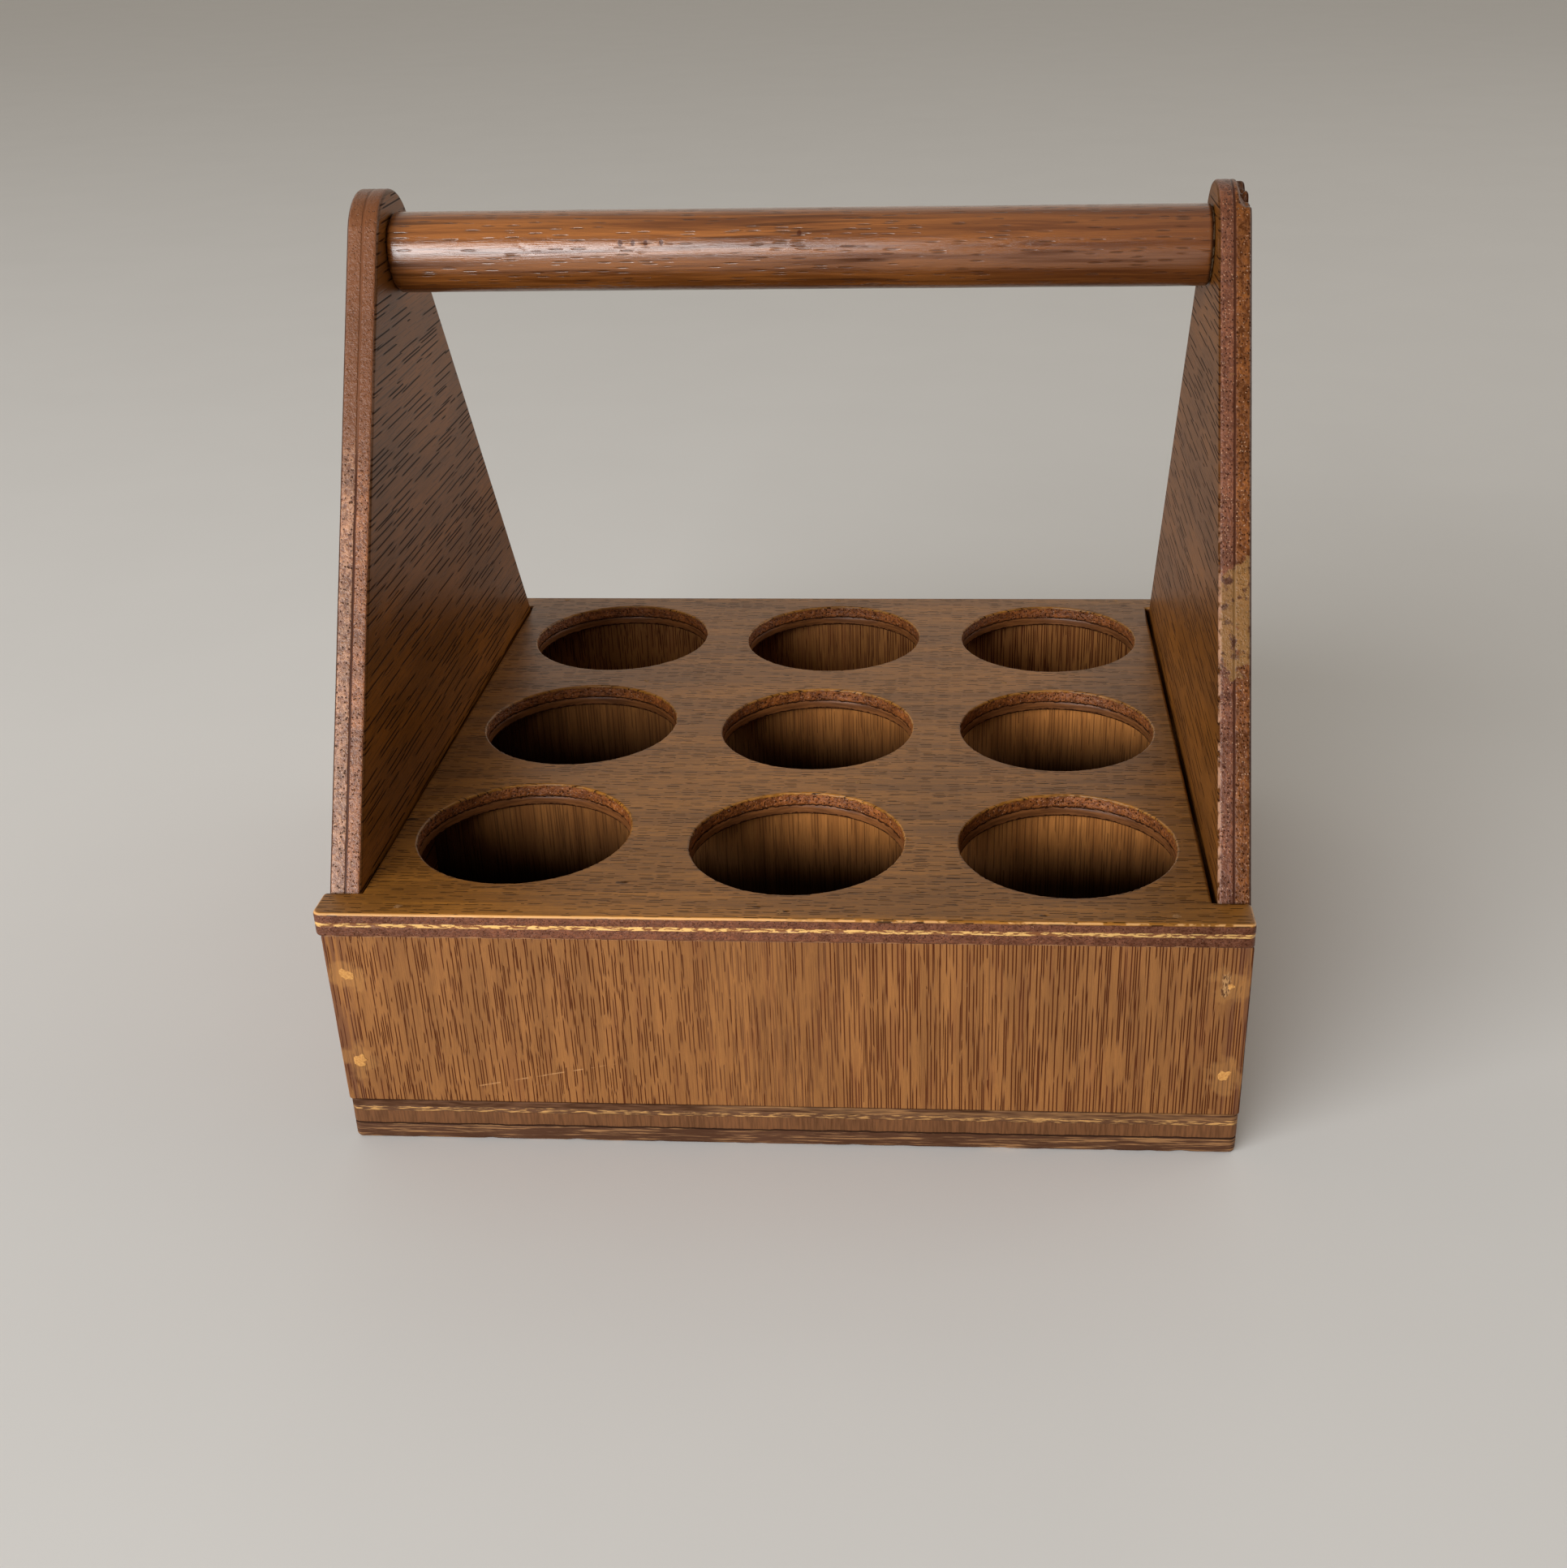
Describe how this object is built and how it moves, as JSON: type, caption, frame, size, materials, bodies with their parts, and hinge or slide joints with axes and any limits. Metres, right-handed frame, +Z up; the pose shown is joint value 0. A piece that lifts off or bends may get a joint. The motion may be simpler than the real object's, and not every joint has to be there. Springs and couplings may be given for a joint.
{
  "type": "carrying rack with round holes",
  "caption": "Low wooden box with a deck of round holes that holds tubes, jars or bottles upright, and tapered ends joined by a dowel carrying handle.",
  "frame": {"origin": "centre of the base board's underside, on the table", "axes": "+X along the handle towards the right end, -Y to the front, +Z up"},
  "size_m": [0.2815, 0.269, 0.2715],
  "materials": {
    "base_ply": "dark stained plywood, matt, worn edges",
    "panel_ply": "orange-brown varnished plywood, grain upright, satin",
    "end_ply": "brown varnished plywood, grain from front to back, satin",
    "deck_ply": "grey-brown varnished plywood, grain along the handle, satin",
    "divider_ply": "unfinished brown plywood, grain upright, matt",
    "handle_wood": "varnished turned hardwood, satin, polished by handling",
    "filler": "pale ochre wood filler, matt",
    "screw_metal": "tarnished brass",
    "pin_steel": "dull steel"
  },
  "bodies": {
    "root": {"base_board": "base_ply", "front_panel": "panel_ply", "back_panel": "panel_ply", "left_end_board": "end_ply", "right_end_board": "end_ply", "front_divider": "divider_ply", "rear_divider": "divider_ply", "deck": "deck_ply", "handle_dowel": "handle_wood", "handle_screws": "screw_metal", "front_panel_pins": "pin_steel", "back_panel_pins": "pin_steel", "deck_pins": "pin_steel", "divider_pins": "pin_steel", "base_nails": "pin_steel", "front_panel_filler": "filler", "back_panel_filler": "filler", "deck_filler": "filler", "end_board_filler": "filler"}
  },
  "joints": []
}
